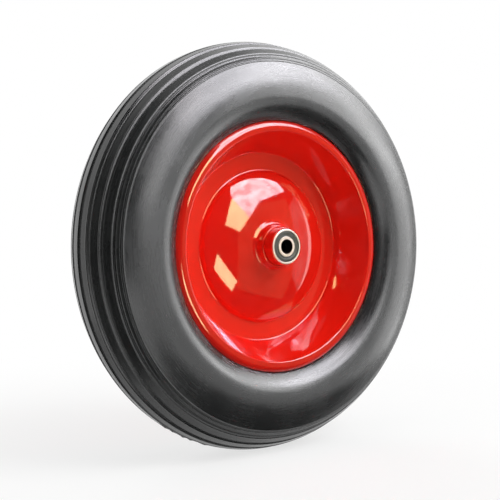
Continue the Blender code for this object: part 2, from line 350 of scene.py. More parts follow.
def shade(values, factor):
    """A colour made lighter or darker by a factor."""
    return tuple(min(value * factor, 1.0) for value in values)


def moulded_foam_skin(tyre):
    """Integral-skin polyurethane foam, moulded black: a closed, slightly greasy skin with a
    fine pebble, dull cloudy patches where release agent dried, faint streaks round the axle
    where the mould was wiped, and a little dust."""
    material, tree, shader, place = new_material("moulded_foam_skin", IOR=1.5)
    clouds = add_node(
        tree, "TexNoise", {"Vector": place, "Scale": 1 / (34 * MM), "Detail": 4.0, "Roughness": 0.62}
    )
    dust = add_node(
        tree, "TexNoise", {"Vector": place, "Scale": 1 / (1.1 * MM), "Detail": 3.0, "Roughness": 0.7}
    )
    # The wiped streaks: noise over the distance from the axle and the angle round it.
    parts = add_node(tree, "SeparateXYZ", {"Vector": place})
    turn = add_node(tree, "Math", {0: parts.outputs["Z"], 1: parts.outputs["X"]}, operation="ARCTAN2")
    across = add_node(tree, "Math", {0: axle_distance(tree, place), 1: 1 / (1.3 * MM)}, operation="MULTIPLY")
    along = add_node(tree, "Math", {0: turn, 1: 5.0}, operation="MULTIPLY")
    wiped = add_node(tree, "CombineXYZ", {"X": across, "Y": along})
    streaks = add_node(tree, "TexNoise", {"Vector": wiped, "Scale": 1.0, "Detail": 2.0})
    uneven = add_node(tree, "Mix", {"Factor": 0.4, "A": clouds, "B": streaks})
    dull = add_node(
        tree,
        "MapRange",
        {"Value": uneven, "From Min": 0.36, "From Max": 0.66, "To Min": 0.21, "To Max": 0.33},
    )
    tone = add_node(
        tree, "MapRange", {"Value": uneven, "From Min": 0.37, "From Max": 0.68, "To Min": 0.0, "To Max": 0.8}
    )
    body = add_node(
        tree,
        "Mix",
        {"Factor": tone, "A": rgba(tyre.skin), "B": rgba(shade(tyre.skin, 1.5))},
        data_type="RGBA",
    )
    specks = add_node(
        tree, "MapRange", {"Value": dust, "From Min": 0.68, "From Max": 0.80, "To Min": 0.0, "To Max": 0.16}
    )
    dusty = add_node(
        tree, "Mix", {"Factor": specks, "A": body, "B": rgba(linear("8c8a86"))}, data_type="RGBA"
    )
    pebble = add_node(tree, "TexNoise", {"Vector": place, "Scale": 1 / (0.8 * MM), "Detail": 2.0})
    fine = add_node(tree, "Bump", {"Height": pebble, "Strength": 1.0, "Distance": 0.020 * MM})
    wave = add_node(tree, "TexNoise", {"Vector": place, "Scale": 1 / (22 * MM), "Detail": 1.0})
    swell = add_node(tree, "Bump", {"Height": wave, "Strength": 1.0, "Distance": 0.16 * MM, "Normal": fine})
    plug(tree, shader, {"Base Color": dusty, "Roughness": dull, "Normal": swell})
    return material


SHADED_TUBE_RADIUS = 15.5 * MM  # painted shade: within this radius the tube's inside is coloured near black


def stoved_enamel(rim):
    """Stoved enamel, sprayed on pressed steel: deep red under a wet gloss, with a faint
    orange peel a few millimetres wide. Inside the hub tube the colour turns near black:
    painted shade for the tube's dark inside."""
    material, tree, shader, place = new_material("stoved_enamel", IOR=1.5, Roughness=0.06)
    clouds = add_node(tree, "TexNoise", {"Vector": place, "Scale": 1 / (40 * MM), "Detail": 2.0})
    body = add_node(
        tree,
        "Mix",
        {"Factor": clouds, "A": rgba(shade(rim.enamel, 0.93)), "B": rgba(shade(rim.enamel, 1.06))},
        data_type="RGBA",
    )
    # Painted shade: inside the hub tube the red gives way to near black, where little light reaches.
    inside = add_node(
        tree, "Math", {0: axle_distance(tree, place), 1: SHADED_TUBE_RADIUS}, operation="LESS_THAN"
    )
    body = add_node(tree, "Mix", {"Factor": inside, "A": body, "B": rgba(linear("17110f"))}, data_type="RGBA")
    peel = add_node(tree, "TexNoise", {"Vector": place, "Scale": 1 / (3.2 * MM), "Detail": 1.5})
    skin = add_node(tree, "Bump", {"Height": peel, "Strength": 1.0, "Distance": 0.006 * MM})
    plug(tree, shader, {"Base Color": body, "Normal": skin})
    return material


BORE_SHADE_RADIUS = 6.75 * MM  # painted shade: the axle's bore, with its eased edges, lies within this and is coloured dark brown


def ground_bearing_steel(hub):
    """Through-hardened bearing steel, ground and tumbled: bright, with the grinding wheel's
    fine rings running round the axle, drawn coarser than they are so that they still show.
    The axle's bore is coloured dark brown: painted shade for the dark hole."""
    material, tree, shader, place = new_material("ground_bearing_steel", Metallic=1.0)
    radius = axle_distance(tree, place)
    rings = add_node(
        tree, "TexNoise", {"W": radius, "Scale": 1 / (0.12 * MM), "Detail": 2.0}, noise_dimensions="1D"
    )
    gloss = add_node(
        tree, "MapRange", {"Value": rings, "From Min": 0.3, "From Max": 0.7, "To Min": 0.34, "To Max": 0.46}
    )
    tone = add_node(
        tree,
        "Mix",
        {"Factor": rings, "A": rgba(shade(hub.steel, 0.9)), "B": rgba(hub.steel)},
        data_type="RGBA",
    )
    # Painted shade: within the bore the steel is coloured dark brown.
    inside = add_node(tree, "Math", {0: radius, 1: BORE_SHADE_RADIUS}, operation="LESS_THAN")
    shaded_bore = add_node(
        tree, "Mix", {"Factor": inside, "A": tone, "B": rgba(linear("2c1d18"))}, data_type="RGBA"
    )
    plug(tree, shader, {"Base Color": shaded_bore, "Roughness": gloss})
    return material


def moulded_nitrile(hub):
    """Nitrile rubber, moulded on a steel washer: satin dark grey-green with a trace of grease."""
    material, tree, shader, place = new_material("moulded_nitrile", IOR=1.5)
    film = add_node(tree, "TexNoise", {"Vector": place, "Scale": 1 / (2.5 * MM), "Detail": 3.0})
    gloss = add_node(
        tree, "MapRange", {"Value": film, "From Min": 0.3, "From Max": 0.7, "To Min": 0.38, "To Max": 0.52}
    )
    tone = add_node(
        tree,
        "Mix",
        {"Factor": film, "A": rgba(shade(hub.rubber, 0.75)), "B": rgba(shade(hub.rubber, 1.3))},
        data_type="RGBA",
    )
    plug(tree, shader, {"Base Color": tone, "Roughness": gloss})
    return material


def moulded_nylon(hub):
    """Nylon, injection moulded: cream, waxy and a little uneven in tone."""
    material, tree, shader, place = new_material("moulded_nylon", IOR=1.53, Roughness=0.42)
    flow = add_node(tree, "TexNoise", {"Vector": place, "Scale": 1 / (3 * MM), "Detail": 2.0})
    tone = add_node(
        tree,
        "Mix",
        {"Factor": flow, "A": rgba(shade(hub.nylon, 0.85)), "B": rgba(hub.nylon)},
        data_type="RGBA",
    )
    plug(tree, shader, {"Base Color": tone})
    return material


# Tyre


GROOVE_SHARES = (0.130, 0.347, 0.590, 0.772)  # places, as shares of half the tyre's width
GROOVE_BURR = 0.20 * MM  # height of the low burr beside each edge of a groove
HAIRLINE_SHARES = (0.389, 0.843)  # fine lines that the mould's joints leave beside the grooves
HAIRLINE_DEPTH = 0.60 * MM
HAIRLINE_BURR = 0.10 * MM
FLASH_MIDDLE = -115.0  # degrees round the axle, where the flash was torn off
FLASH_REACH = 13.0  # degrees to each side of its middle, with the last 3 of them fading out
FLASH_THICKNESS = 0.5 * MM
TYRE_STEPS = 288


def tread_curve(tyre):
    """The tread's plain curve from the widest point to the middle, with the run along it.

    A superellipse: the depth is half the width times the cosine, and the rise above the
    tread's root is the tread's height times the sine, each to the power of 2 / squareness.
    """
    half = tyre.width / 2.0
    turn = np.linspace(0.0, math.pi / 2.0, 3000)
    power = 2.0 / tyre.squareness
    depth = half * np.abs(np.cos(turn)) ** power
    depth[-1] = 0.0
    radius = tyre.tread_root + (tyre.radius - tyre.tread_root) * np.sin(turn) ** power
    run = np.append(0.0, np.cumsum(np.hypot(np.diff(radius), np.diff(depth))))
    return radius, depth, run


def tread_path(tyre):
    """The tread with its shoulder step and grooves, each a smooth cut along the normal.

    A groove's depth falls from full to none by a smoothstep of the distance along the
    curve, slower on the side of the tread's middle, with a low burr beside each edge. The
    shoulder rises by another smoothstep. A hairline is a bell curve of that distance, and so
    is each burr. The ribs between the grooves are flattened: the curve is drawn part of the
    way to its chords, and the middle rib to the level of its groove's edge.
    """
    half = tyre.width / 2.0
    radius, depth, run = tread_curve(tyre)
    shoulder = np.interp(-(half - tyre.shoulder_inset), -depth, run)
    grooves = [np.interp(-half * share, -depth, run) for share in GROOVE_SHARES]
    hairlines = [np.interp(-half * share, -depth, run) for share in HAIRLINE_SHARES]
    # Stations along the curve: close together at each groove, hairline and the crown, where
    # the flash stands, and wide apart between them.
    fine = np.linspace(-1.9 * MM, 3.1 * MM, 31)
    plain = np.arange(shoulder, run[-1], 1.25 * MM)
    marks = np.array([shoulder, *grooves])
    plain = plain[np.abs(plain[:, None] - marks - 0.6 * MM).min(axis=1) > 2.8 * MM]
    plain = plain[np.abs(plain[:, None] - hairlines).min(axis=1) > 1.3 * MM]
    crown = run[-1] - np.linspace(1.2 * MM, 0.0, 6)
    plain = plain[plain < crown[0] - 0.4 * MM]
    hair = (np.array(hairlines)[:, None] + np.linspace(-1.1 * MM, 1.1 * MM, 15)).ravel()
    stations = np.unique(np.concatenate([plain, (marks[:, None] + fine).ravel(), hair, crown]))
    stations = stations[stations >= shoulder]
    base = np.column_stack([np.interp(stations, run, values) for values in (radius, depth)])
    knots = np.sort([shoulder, *grooves, run[-1]])
    flat = np.column_stack(
        [np.interp(stations, knots, np.interp(knots, run, values)) for values in (radius, depth)]
    )
    flat[:, 0] = np.where(stations > knots[-2], np.interp(knots[-2], run, radius), flat[:, 0])
    base += tyre.rib_flatness * (flat - base)
    along = np.gradient(np.column_stack([radius, depth]), run, axis=0)
    normal = np.column_stack([-along[:, 1], along[:, 0]])
    normal = np.column_stack([np.interp(stations, run, normal[:, axis]) for axis in (0, 1)])
    normal /= np.hypot(*normal.T)[:, None]
    rise = smoothstep((stations - shoulder) / (1.1 * MM)) * tyre.shoulder_step
    for groove in grooves:
        away = stations - groove
        wall = np.where(away > 0.0, tyre.groove_lean, 1.0) * 0.40 * tyre.groove_width
        floor_half = 0.14 * tyre.groove_width
        cut = 1.0 - smoothstep((np.abs(away) - floor_half) / wall)
        burr = np.exp(-(((np.abs(away) - floor_half - wall * 1.1) / (0.32 * MM)) ** 2))
        rise += GROOVE_BURR * burr - tyre.groove_depth * cut
    for hairline in hairlines:
        away = np.abs(stations - hairline)
        rise += HAIRLINE_BURR * np.exp(-(((away - 0.7 * MM) / (0.25 * MM)) ** 2))
        rise -= HAIRLINE_DEPTH * np.exp(-((away / (0.33 * MM)) ** 2))
    return base + normal * rise[:, None]


def smoothstep(share):
    """Three times the square less twice the cube of the share, held between 0 and 1."""
    share = np.clip(share, 0.0, 1.0)
    return share * share * (3.0 - 2.0 * share)


def sidewall_path(tyre, rim):
    """The sidewall from the rim's edge over the widest point to the tread's shoulder.

    Inside the widest radius it is an ellipse: the depth is half the width times the root of
    one less the square of the share fallen, scaled to end at the bead. Outside it is a
    parabola: the depth is half the width less the shoulder's inset times the square of the
    share gone."""
    half = tyre.width / 2.0
    first = rim.flange_radius + GAP
    bead = half - rim.flange_inset - tyre.bead_drop
    radius, depth, run = tread_curve(tyre)
    last = np.interp(-(half - tyre.shoulder_inset), -depth, radius)
    inner = np.linspace(first, tyre.widest_radius, 26)
    outer = np.linspace(tyre.widest_radius, last, 34)[1:]
    fallen = (tyre.widest_radius - inner) / (tyre.widest_radius - first)
    gone = (outer - tyre.widest_radius) / (last - tyre.widest_radius)
    inner_depth = half * np.sqrt(1.0 - fallen**2 * (1.0 - (bead / half) ** 2))
    outer_depth = half - tyre.shoulder_inset * gone**2
    return np.column_stack([np.append(inner, outer), np.append(inner_depth, outer_depth)])


def seat_path(tyre, rim):
    """The tyre's inside, from the slot for the flange's edge down the back of the wall."""
    flange = tyre.width / 2.0 - rim.flange_inset
    slot = flange - rim.flange_lip - GAP
    wall = offset(wall_path(rim, flange), rim.sheet + GAP)
    wall = wall[(wall[:, 1] > SPLIT) & (wall[:, 1] < slot)][::-1]
    foot = np.array([(wall[-1, 0], SPLIT)])
    mouth = np.array([(rim.flange_radius + GAP, slot)])
    return evenly(np.concatenate([mouth, wall, foot]), 2.4 * MM)


def tyre_points(tyre, rim):
    """The tyre's loop turned about the axle, with its torn flash on the parting line.

    The flash is a fin whose height is a bell curve of the distance from the middle plane,
    and comes and goes round the wheel as a clipped sum of three sine waves."""
    outside = np.concatenate([sidewall_path(tyre, rim)[:-1], tread_path(tyre)])
    seat = seat_path(tyre, rim)
    half_loop = np.concatenate([seat[::-1], outside])
    other = half_loop[::-1] * (1.0, -1.0)
    loop = np.concatenate([half_loop, other[1:-1]])
    points = turned(loop, TYRE_STEPS, FRONT)
    radius = np.hypot(points[:, :, 0], points[:, :, 2])
    angle = np.degrees(np.arctan2(points[:, :, 2], points[:, :, 0]))
    torn = np.sin(angle * 0.9) + np.sin(angle * 1.7 + 1.0) + np.sin(angle * 2.9 + 2.0)
    torn = np.clip(torn + 0.4, 0.0, 1.6) / 1.6
    reach = smoothstep((FLASH_REACH - np.abs(angle - FLASH_MIDDLE)) / 3.0)
    near = np.exp(-((points[:, :, 1] / FLASH_THICKNESS) ** 2)) * (radius > tyre.widest_radius)
    fin = near * reach * torn * tyre.fin_height
    points[:, :, 0] *= 1.0 + fin / radius
    points[:, :, 2] *= 1.0 + fin / radius
    return points


class WHEEL_OT_tyre(bpy.types.Operator):
    """Build the foam tyre with its ribbed tread"""

    bl_idname = "wheel.tyre"
    bl_label = "Foam tyre"

    def execute(self, context):
        tyre = context.scene.wheel_tyre
        rim = context.scene.wheel_rim
        points = tyre_points(tyre, rim)
        skin = moulded_foam_skin(tyre)
        add_surface("ribbed_foam_tyre", points, skin, "wheel", ["tyre"])
        return {"FINISHED"}


# Rim


FLANGE_FLAT = 6.5 * MM  # from the flange's edge to where its face begins to roll back
FLANGE_BEND = 8.2 * MM  # radius of that roll
FLANGE_ROLL = 52.0  # degrees through which the face rolls back
RIM_STEPS = 256


def wall_path(rim, flange):
    """The bowl's wall from its foot in the valley to the flange: a straight run bowed by a
    parabola, four times the share gone times the share left times the sag."""
    foot = np.array([rim.flange_radius - rim.flange_width - rim.wall_run, SPLIT + rim.sheet])
    brim = np.array([rim.flange_radius - rim.flange_width, flange])
    chord = brim - foot
    aside = np.array([chord[1], -chord[0]]) / np.hypot(*chord)
    share = np.linspace(0.0, 1.0, 26)[:, None]
    return foot + share * chord + 4.0 * share * (1.0 - share) * rim.wall_sag * aside


def rim_loop(rim, hub, half_width):
    """A rim half: the seen face from the collar's end over the dome, down the valley and up
    the wall to the flange's rolled edge, and the same path a sheet's thickness behind it.

    The dome's height is the dome's full height times one less the share of its radius to
    the power of the squareness, all to the inverse of that power."""
    valley = SPLIT + rim.sheet
    flange = half_width - rim.flange_inset
    wall_foot = rim.flange_radius - rim.flange_width - rim.wall_run
    dome = wall_foot - rim.valley_width
    collar = hub.tube_radius + GAP + rim.sheet
    foot = collar + rim.collar_flare
    first = foot + 3.0 * MM
    last = dome - 2.5 * MM
    radius = first + (last - first) * np.sin(np.linspace(0.0, 0.5, 48) * math.pi)
    share = (radius / dome) ** rim.dome_squareness
    height = valley + rim.dome_height * (1.0 - share) ** (1.0 / rim.dome_squareness)
    corners = [(collar, rim.collar_height - 0.7 * MM, 0.0)]
    corners.append((foot - 0.2 * MM, height[0] + 0.9 * MM, 2.6 * MM))
    corners += [(r, h, 0.0) for r, h in zip(radius[1:], height[1:])]
    corners += [(dome, valley, 2.5 * MM), (wall_foot, valley, 1.6 * MM)]
    corners += [(r, h, 0.0) for r, h in wall_path(rim, flange)[1:-1]]
    brim = rim.flange_radius - rim.flange_width
    roll = rim.flange_radius - FLANGE_FLAT
    corners += [(brim, flange, 2.0 * MM), (roll, flange, 0.0)]
    corners += [
        (roll + FLANGE_BEND * math.sin(t), flange - FLANGE_BEND * (1.0 - math.cos(t)), 0.0)
        for t in np.linspace(0.0, 1.0, 14)[1:] * math.radians(FLANGE_ROLL)
    ]
    face = evenly(rounded(corners, 9), 0.9 * MM)
    back = offset(face, rim.sheet)
    # Paint fills the joint between the collar's end and the tube.
    inner = hub.tube_radius + 0.04 * MM
    end = [(inner, rim.collar_height - 0.5 * MM, 0.0), (inner, rim.collar_height, 0.3 * MM)]
    end += [(collar, rim.collar_height, 0.65 * MM), (collar, rim.collar_height - 0.7 * MM, 0.0)]
    return np.concatenate([rounded(end, 5)[:-1], face, back[::-1]])


class WHEEL_OT_rim(bpy.types.Operator):
    """Build the two pressed rim halves"""

    bl_idname = "wheel.rim"
    bl_label = "Rim halves"

    def execute(self, context):
        rim = context.scene.wheel_rim
        hub = context.scene.wheel_hub
        half_width = context.scene.wheel_tyre.width / 2.0
        enamel = stoved_enamel(rim)
        loop = rim_loop(rim, hub, half_width)
        for end, side in SIDES:
            points = turned(loop, RIM_STEPS, side)
            add_surface(f"pressed_rim_{end}", points, enamel, "wheel", [f"rim_half_{end}"])
        return {"FINISHED"}


# Hub tube and bearings


TUBE_STEPS = 192
OUTER_STEPS = 144
INNER_STEPS = 128
BORE_EASE = 0.45 * MM  # how much wider in radius the bore is drawn than the axle
CHANNEL_RADIUS = 10.7 * MM  # of the shallow channel in a seal's face
BEAD_RADIUS = 12.3 * MM  # of the raised ring in a seal's face
BALL_EASE = 0.05 * MM  # taken off a drawn ball, so that it clears the flats in its cage's pocket
BALL_COUNT = 7
BALL_ROWS = 17
BALL_COLUMNS = 28


def tube_loop(hub):
    """The hub tube: bored wider at each end for its bearing, with eased ends."""
    end = hub.tube_length / 2.0
    seat = hub.bearing_radius + GAP
    shoulder = end - hub.bearing_width - GAP
    narrow = hub.tube_radius - hub.tube_wall
    half = [
        (narrow, shoulder, 0.15 * MM),
        (seat, shoulder, 0.15 * MM),
        (seat, end, 0.2 * MM),
        (hub.tube_radius, end, 0.4 * MM),
    ]
    other = [(radius, -depth, ease) for radius, depth, ease in reversed(half)]
    corners = [other[-1], *half, *other, half[0]]
    loop = rounded(corners, 4)[1:-1]
    return evenly(np.concatenate([loop, loop[:1]]), 1.5 * MM)[:-1]


def race(hub, start, sweep):
    """A raceway's groove: an arc about the ball's centre, a running gap wider than the ball."""
    return arc((hub.pitch_radius, 0.0), hub.ball_radius + GAP, start, sweep, 16)


def race_angle(hub, shoulder):
    """Half the angle that a raceway spans, up to its ring's shoulder."""
    return math.acos(abs(shoulder - hub.pitch_radius) / (hub.ball_radius + GAP))


def outer_ring_loop(hub):
    """The outer ring: outside, stepped seats for the seals, and the raceway between them."""
    face = hub.bearing_width / 2.0
    step = face - hub.seal_recess - hub.seal_thickness - GAP
    half_angle = race_angle(hub, hub.outer_shoulder)
    outside = rounded(
        [
            (hub.outer_shoulder, step, 0.0),
            (hub.seal_seat, step, 0.1 * MM),
            (hub.seal_seat, face, 0.12 * MM),
            (hub.bearing_radius, face, 0.5 * MM),
            (hub.bearing_radius, -face, 0.5 * MM),
            (hub.seal_seat, -face, 0.12 * MM),
            (hub.seal_seat, -step, 0.1 * MM),
            (hub.outer_shoulder, -step, 0.0),
        ],
        5,
    )
    return np.concatenate([evenly(outside, 0.6 * MM), race(hub, -half_angle, 2.0 * half_angle)])


def inner_ring_loop(hub):
    """The inner ring: the axle's bore with eased ends, and the raceway on its outside."""
    face = hub.bearing_width / 2.0
    half_angle = race_angle(hub, hub.inner_shoulder)
    bore = hub.axle_radius + BORE_EASE
    inside = rounded(
        [
            (hub.inner_shoulder - 0.4 * MM, -face, 0.0),
            (bore, -face, 0.25 * MM),
            (bore, face, 0.25 * MM),
            (hub.inner_shoulder, face, 0.15 * MM),
            (hub.inner_shoulder, face - 1.0 * MM, 0.0),
        ],
        5,
    )
    groove = race(hub, math.pi - half_angle, 2.0 * half_angle)
    corner = np.array([(hub.inner_shoulder, -face + 0.2 * MM)])
    return np.concatenate([evenly(inside, 0.6 * MM), groove, corner])


def seal_loop(hub):
    """A seal: a thin washer whose seen face has a shallow channel, a raised ring and a lip,
    each a bell curve of the radius."""
    radius = np.linspace(hub.seal_seat - GAP, hub.inner_shoulder + GAP, 60)
    half = hub.seal_thickness / 2.0
    channel = -0.22 * MM * np.exp(-(((radius - CHANNEL_RADIUS) / (0.42 * MM)) ** 2))
    ring = 0.10 * MM * np.exp(-(((radius - BEAD_RADIUS) / (0.5 * MM)) ** 2))
    ends = 0.12 * MM * (
        np.exp(-(((radius - radius[0]) / (0.15 * MM)) ** 2))
        + np.exp(-(((radius - radius[-1]) / (0.15 * MM)) ** 2))
    )
    face = np.column_stack([radius, half + channel + ring - ends])
    back = np.array([(radius[-1], -half), (radius[0], -half)])
    return np.concatenate([face, back])


def ball_points(radius, centre):
    """A ball: latitude from pole to pole and longitude round it, about its centre. The poles
    are rows of equal points, merged afterwards."""
    latitude = np.linspace(-0.5, 0.5, BALL_ROWS)[:, None] * math.pi
    longitude = np.linspace(0.0, math.tau, BALL_COLUMNS, endpoint=False)[None, :]
    return np.stack(
        [
            centre[0] + radius * np.cos(latitude) * np.cos(longitude),
            centre[1] + radius * np.cos(latitude) * np.sin(longitude),
            np.repeat(centre[2] + radius * np.sin(latitude), BALL_COLUMNS, axis=1),
        ],
        axis=2,
    )[::-1]


def close_poles(piece):
    """Merges the equal points of a ball's poles, so that the faces there become triangles."""
    merge = piece.modifiers.new("poles", "WELD")
    merge.merge_threshold = 0.01 * MM


class WHEEL_OT_hub_tube(bpy.types.Operator):
    """Build the hub tube that holds both bearings"""

    bl_idname = "wheel.hub_tube"
    bl_label = "Hub tube"

    def execute(self, context):
        hub = context.scene.wheel_hub
        enamel = bpy.data.materials["stoved_enamel"]
        points = turned(tube_loop(hub), TUBE_STEPS, FRONT)
        add_surface("bored_hub_tube", points, enamel, "wheel", ["hub_tube"])
        return {"FINISHED"}


class WHEEL_OT_bearings(bpy.types.Operator):
    """Build both sealed ball bearings"""

    bl_idname = "wheel.bearings"
    bl_label = "Ball bearings"

    def execute(self, context):
        hub = context.scene.wheel_hub
        steel = ground_bearing_steel(hub)
        rubber = moulded_nitrile(hub)
        nylon = moulded_nylon(hub)
        middle = (hub.tube_length - hub.bearing_width) / 2.0
        seal_place = (hub.bearing_width - hub.seal_thickness) / 2.0 - hub.seal_recess
        for end, side in SIDES:
            place = (0.0, middle)
            outer = turned(outer_ring_loop(hub) + place, OUTER_STEPS, side)
            add_surface(f"{end}_outer_race", outer, steel, "wheel", [f"{end}_outer_ring"])
            inner = turned(inner_ring_loop(hub) + place, INNER_STEPS, side)
            add_surface(
                f"{end}_inner_race", inner, steel, f"{end}_axle_side", [f"{end}_inner_ring"]
            )
            for facing, way in (("outside", 1.0), ("inside", -1.0)):
                loop = seal_loop(hub) * (1.0, way) + (0.0, middle + way * seal_place)
                add_surface(
                    f"{end}_{facing}_lip_seal",
                    turned(loop, OUTER_STEPS, side),
                    rubber,
                    "wheel",
                    [f"{end}_{facing}_seal"],
                )
            for count in range(1, BALL_COUNT + 1):
                node = f"{end}_ball_{count}"
                low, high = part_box(node)
                ball = ball_points(hub.ball_radius - BALL_EASE, (low + high) / 2.0)
                name = f"{end}_ground_ball_{count}"
                piece = add_surface(name, ball, steel, node, [node], rows_close=False)
                close_poles(piece)
            cage = frame["nodes"][f"{end}_cage"]
            cage.data.materials.clear()
            cage.data.materials.append(nylon)
        return {"FINISHED"}


# Studio


FOCAL_PIXELS = 849.0
CAMERA_DISTANCE = 0.8
CAMERA_TURN = math.radians(36.9)  # from facing the wheel squarely, towards -X
CAMERA_RISE = math.radians(0.66)
CENTRE_PIXEL = (262.0, 246.2)  # where the wheel's centre falls in the photograph


def direction(azimuth, elevation):
    """Unit vector from the wheel. Azimuth is measured from -Y towards +X, in degrees."""
    a = math.radians(azimuth)
    e = math.radians(elevation)
    return Vector((math.sin(a) * math.cos(e), -math.cos(a) * math.cos(e), math.sin(e)))


def add_camera():
    """Places the camera so that the wheel's centre falls on its pixel of the photograph."""
    back = direction(-math.degrees(CAMERA_TURN), math.degrees(CAMERA_RISE))
    right = Vector((math.cos(CAMERA_TURN), -math.sin(CAMERA_TURN), 0.0))
    up = back.cross(right)
    middle = IMAGE_SIZE / 2.0
    aim = Vector(
        ((CENTRE_PIXEL[0] - middle) / FOCAL_PIXELS, (middle - CENTRE_PIXEL[1]) / FOCAL_PIXELS, -1.0)
    )
    swing = Vector((0.0, 0.0, -1.0)).rotation_difference(aim).to_matrix()
    basis = Matrix((right, up, back))
    data = bpy.data.cameras.new("camera")
    data.sensor_width = 36.0
    data.lens = FOCAL_PIXELS / IMAGE_SIZE * data.sensor_width
    camera = bpy.data.objects.new("camera", data)
    camera.matrix_world = Matrix.Translation(back * CAMERA_DISTANCE) @ (swing @ basis).transposed().to_4x4()
    bpy.context.scene.collection.objects.link(camera)
    bpy.context.scene.camera = camera


CARD_STEPS = 16
CARD_CLOUDS = 7.2  # scale of the uneven glow on a card one metre away


def add_card(name, corners, distance, glow, once, twice, patchiness, clear):
    """A light card for glossy rays: a patch of a sphere between four (azimuth, elevation)
    corners, blended evenly between them. Its strength is given as seen by one reflection and
    by two. The photograph's highlights are compressed, so that a lamp seen by two reflections
    looks nearly as bright as by one. Patchiness is how uneven the glow is, and a clear card
    lets the cards behind it shine through."""
    share = np.linspace(0.0, 1.0, CARD_STEPS + 1)
    across, up = np.meshgrid(share, share)
    corners = np.radians(np.array(corners))
    low = corners[0] * (1.0 - across[..., None]) + corners[1] * across[..., None]
    high = corners[3] * (1.0 - across[..., None]) + corners[2] * across[..., None]
    azimuth, elevation = np.moveaxis(low * (1.0 - up[..., None]) + high * up[..., None], 2, 0)
    points = distance * np.stack(
        [
            np.sin(azimuth) * np.cos(elevation),
            -np.cos(azimuth) * np.cos(elevation),
            np.sin(elevation),
        ],
        axis=2,
    )
    material = bpy.data.materials.new(name)
    tree = cleared_tree(material)
    place = add_node(tree, "TexCoord").outputs["Object"]
    cloth = add_node(tree, "TexNoise", {"Vector": place, "Scale": CARD_CLOUDS / distance, "Detail": 2.0})
    uneven = add_node(
        tree,
        "MapRange",
        {
            "Value": cloth,
            "From Min": 0.35,
            "From Max": 0.65,
            "To Min": 1.0 - patchiness,
            "To Max": 1.0 + patchiness,
        },
    )
    # The ray depth is 1 for what one reflection shows, and 2 for what two show.
    depth = add_node(tree, "LightPath").outputs["Ray Depth"]
    power = add_node(
        tree, "MapRange", {"Value": depth, "From Min": 1.0, "From Max": 2.0, "To Min": once, "To Max": twice}
    )
    level = add_node(tree, "Math", {0: uneven, 1: power}, operation="MULTIPLY")
    light = add_node(tree, "Emission", {"Color": rgba(glow), "Strength": level})
    if clear:
        see_through = add_node(tree, "BsdfTransparent")
        light = add_node(tree, "AddShader", {0: light, 1: see_through})
    add_node(tree, "OutputMaterial", {"Surface": light})
    card = bpy.data.objects.new(name, grid_mesh(name, points, False, False, material))
    card.visible_camera = False
    card.visible_shadow = False
    card.visible_diffuse = False
    bpy.context.scene.collection.objects.link(card)
    return card


def link_card(card, name, pieces):
    """Lets a card's light fall on these pieces alone."""
    group = bpy.data.collections.get(name) or bpy.data.collections.new(name)
    for piece in pieces:
        if piece.name not in group.objects:
            group.objects.link(piece)
    card.light_linking.receiver_collection = group


def add_soft_light(name, azimuth, elevation, distance, size, power):
    """A square area light aimed at the wheel from a direction, which nothing mirrors."""
    data = bpy.data.lights.new(name, "AREA")
    data.shape = "SQUARE"
    data.size = size
    data.energy = power
    light = bpy.data.objects.new(name, data)
    light.location = direction(azimuth, elevation) * distance
    light.rotation_euler = direction(azimuth, elevation).to_track_quat("Z", "Y").to_euler()
    light.visible_camera = False
    light.visible_glossy = False
    bpy.context.scene.collection.objects.link(light)


FLOOR_REACH = 6.0  # metres from the wheel to the paper's edges


def add_floor(paper_colour, level):
    """The paper floor: for the camera it brightens to white away from the wheel."""
    material = bpy.data.materials.new("paper_floor")
    tree = cleared_tree(material)
    place = add_node(tree, "TexCoord").outputs["Object"]
    away = add_node(tree, "VectorMath", {0: place}, operation="LENGTH")
    grain = add_node(tree, "TexNoise", {"Vector": place, "Scale": 1 / (1.5 * MM), "Detail": 2.0})
    tone = add_node(
        tree,
        "Mix",
        {"Factor": grain, "A": rgba(shade(paper_colour, 0.98)), "B": rgba(shade(paper_colour, 1.02))},
        data_type="RGBA",
    )
    paper = add_node(tree, "BsdfDiffuse", {"Color": tone})
    white = add_node(tree, "Emission", {"Strength": 1.0})
    fade = add_node(
        tree,
        "MapRange",
        {"Value": away, "From Min": 0.20, "From Max": 0.7, "To Min": 0.72, "To Max": 1.0},
        interpolation_type="SMOOTHSTEP",
    )
    seen = add_node(tree, "LightPath").outputs["Is Camera Ray"]
    share = add_node(tree, "Math", {0: fade, 1: seen}, operation="MULTIPLY")
    mixed = add_node(tree, "MixShader", {0: share, 1: paper, 2: white})
    add_node(tree, "OutputMaterial", {"Surface": mixed})
    mesh = bpy.data.meshes.new("paper_floor")
    corners = [(x * FLOOR_REACH, y * FLOOR_REACH, level) for x, y in ((-1, -1), (1, -1), (1, 1), (-1, 1))]
    mesh.from_pydata(corners, [], [(0, 1, 2, 3)])
    mesh.materials.append(material)
    floor = bpy.data.objects.new("paper_floor", mesh)
    floor.visible_glossy = False
    bpy.context.scene.collection.objects.link(floor)


def set_world(fill):
    """A white room for the camera, for gloss and through glass, and an even fill for the rest."""
    world = bpy.data.worlds.new("studio")
    bpy.context.scene.world = world
    tree = cleared_tree(world)
    path = add_node(tree, "LightPath")
    seen = path.outputs["Is Camera Ray"]
    for ray in ("Is Glossy Ray", "Is Transmission Ray"):
        seen = add_node(tree, "Math", {0: seen, 1: path.outputs[ray]}, operation="MAXIMUM")
    strength = add_node(tree, "Mix", {"Factor": seen, "A": fill, "B": 1.0})
    background = add_node(tree, "Background", {"Color": (1.0, 1.0, 1.0, 1.0), "Strength": strength})
    add_node(tree, "OutputWorld", {"Surface": background})


